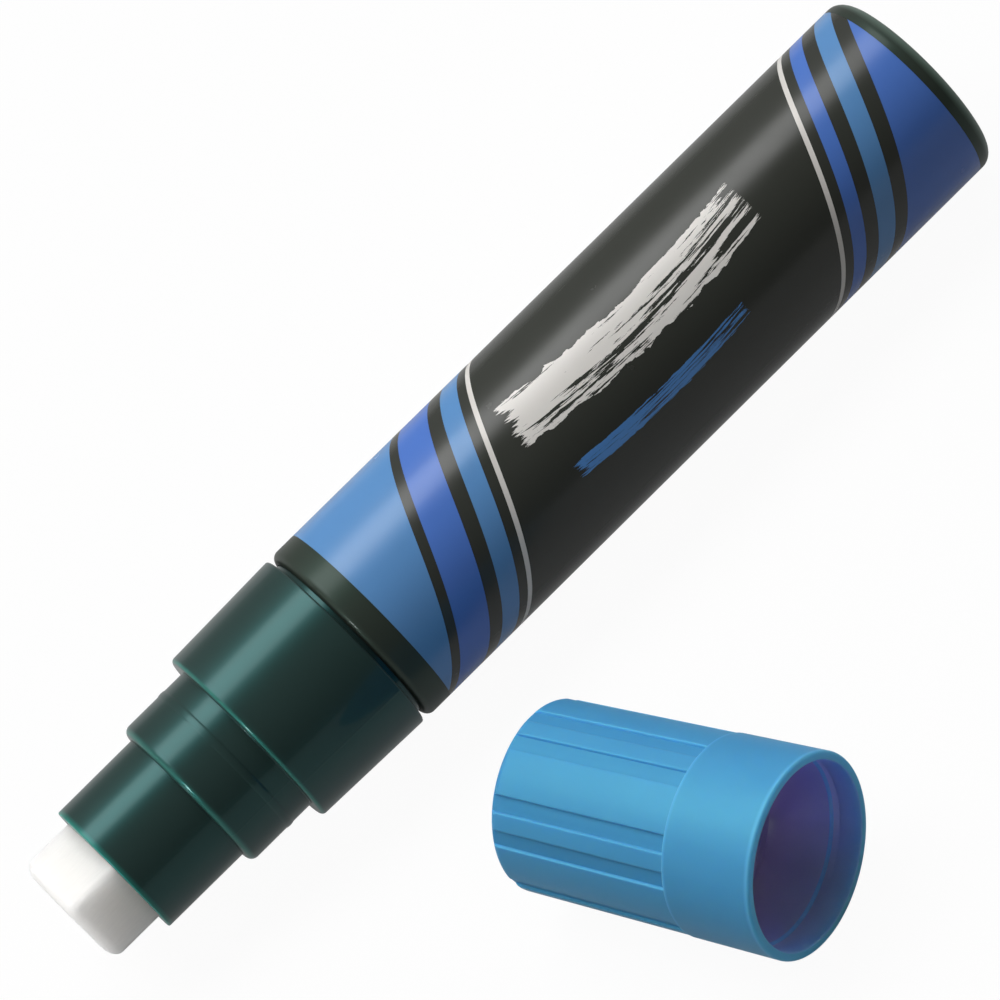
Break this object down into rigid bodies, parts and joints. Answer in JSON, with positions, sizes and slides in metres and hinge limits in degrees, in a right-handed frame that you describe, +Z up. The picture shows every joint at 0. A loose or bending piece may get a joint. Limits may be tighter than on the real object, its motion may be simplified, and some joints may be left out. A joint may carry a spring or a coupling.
{
  "type": "liquid chalk marker",
  "caption": "Jumbo liquid chalk marker with a block fibre nib, sprung ink valve and stepped mouthpiece, lying beside its grooved push-on cap.",
  "frame": {"origin": "middle of the tail's flat end, on the marker's axis", "axes": "X along the marker's axis with the tip towards -X, Z up from the surface that marker and cap lie on, the cap on the -Y side"},
  "size_m": [0.1481, 0.0909, 0.0276],
  "materials": {
    "barrel_plastic": "satin moulded polypropylene",
    "label_film": "printed satin film",
    "green_plastic": "glossy moulded",
    "nib_fibre": "bonded fibre",
    "valve_plastic": "natural moulded",
    "gasket_rubber": "matte",
    "steel": "plain",
    "blue_plastic": "satin moulded polypropylene",
    "liner_plastic": "soft polyethylene"
  },
  "bodies": {
    "marker": {"barrel": "barrel_plastic", "barrel_label": "label_film", "mouthpiece": "green_plastic", "nozzle": "green_plastic", "valve_body": "valve_plastic", "spring_cage": "valve_plastic", "valve_spring": "steel"},
    "nib_unit": {"nib": "nib_fibre", "valve_stem": "valve_plastic", "valve_gasket": "gasket_rubber"},
    "mixing_ball": {"mixing_ball": "steel"},
    "cap": {"cap": "blue_plastic", "cap_liner": "liner_plastic"}
  },
  "joints": [
    {"name": "nib_press", "type": "slide", "parent": "marker", "child": "nib_unit", "axis": [1, 0, 0], "range_m": [0, 0.003], "stiffness_N_per_m": 900, "springref_m": -0.004, "deforming": ["valve_spring"]},
    {"name": "ball_roll", "type": "slide", "parent": "marker", "child": "mixing_ball", "axis": [1, 0, 0], "range_m": [-0.05, 0.027]},
    {"name": "cap_slide", "type": "slide", "parent": "marker", "child": "cap", "axis": [0.393, -0.9195, 0], "range_m": [0, 0.05]}
  ]
}
